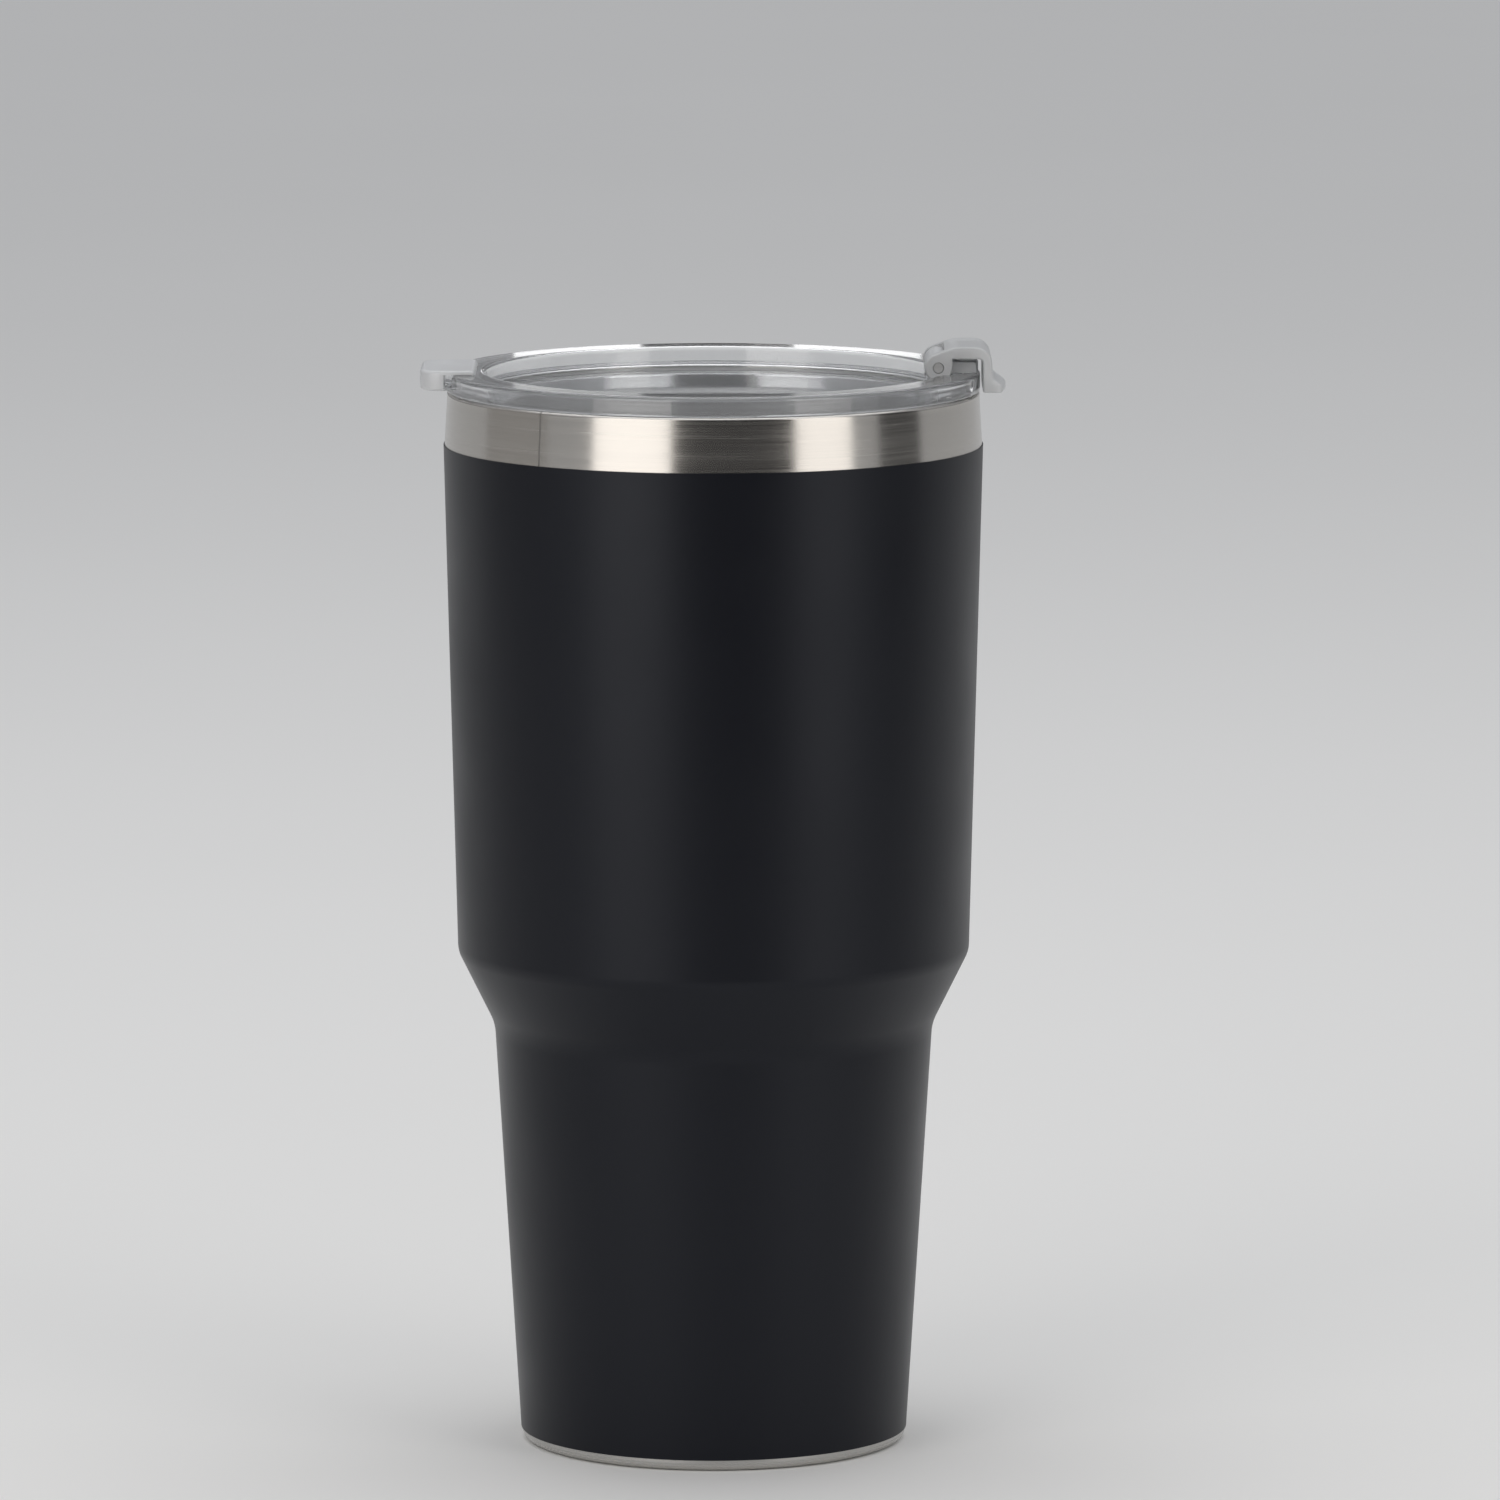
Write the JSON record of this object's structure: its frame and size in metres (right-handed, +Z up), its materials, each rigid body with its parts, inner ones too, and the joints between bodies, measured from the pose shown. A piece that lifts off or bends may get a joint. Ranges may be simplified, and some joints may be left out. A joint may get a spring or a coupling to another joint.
{
  "type": "insulated tumbler with lid",
  "caption": "Stepped double-wall vacuum tumbler with a black coat, bare steel band, clear press-in lid with thumb tab, and a hinged flip cap over the spout.",
  "frame": {"origin": "centre of the base, on the plane the tumbler stands on", "axes": "+Z up along the cup's axis, +X towards the flip cap, -X towards the thumb tab"},
  "size_m": [0.11, 0.1016, 0.2089],
  "materials": {
    "shell_steel": "fine lines round the wall, satin",
    "black_coat": "satin powder coat",
    "liner_steel": "electropolished, faint lines round the wall",
    "copper_foil": "thin crinkled foil",
    "solder_glass": "melted bead",
    "getter_grey": "pressed powder, matte",
    "strap_steel": "mill",
    "cap_steel": "circular brushing",
    "clear_plastic": "clear, glossy",
    "flip_plastic": "clear with a slight haze",
    "silicone": "translucent, matte",
    "pin_steel": "ground"
  },
  "bodies": {
    "cup": {"outer_shell": "shell_steel", "powder_coat": "black_coat", "inner_liner": "liner_steel", "liner_bottom": "liner_steel", "rim_weld": "shell_steel", "radiation_foil": "copper_foil", "vacuum_base": "shell_steel", "sealing_glass": "solder_glass", "getter_pellet": "getter_grey", "getter_holder": "strap_steel", "base_cap": "cap_steel"},
    "lid": {"lid_body": "clear_plastic", "lid_gasket": "silicone", "hinge_pin": "pin_steel"},
    "flip_cap": {"flip_cap": "flip_plastic", "flip_seal": "silicone"}
  },
  "joints": [
    {"name": "lid_lift", "type": "slide", "parent": "cup", "child": "lid", "axis": [0, 0, 1], "range_m": [0, 0.06]},
    {"name": "flip_hinge", "type": "hinge", "parent": "lid", "child": "flip_cap", "pos_m": [0.0422, 0, 0.2051], "axis": [0, -1, 0], "range_deg": [0, 135]}
  ]
}
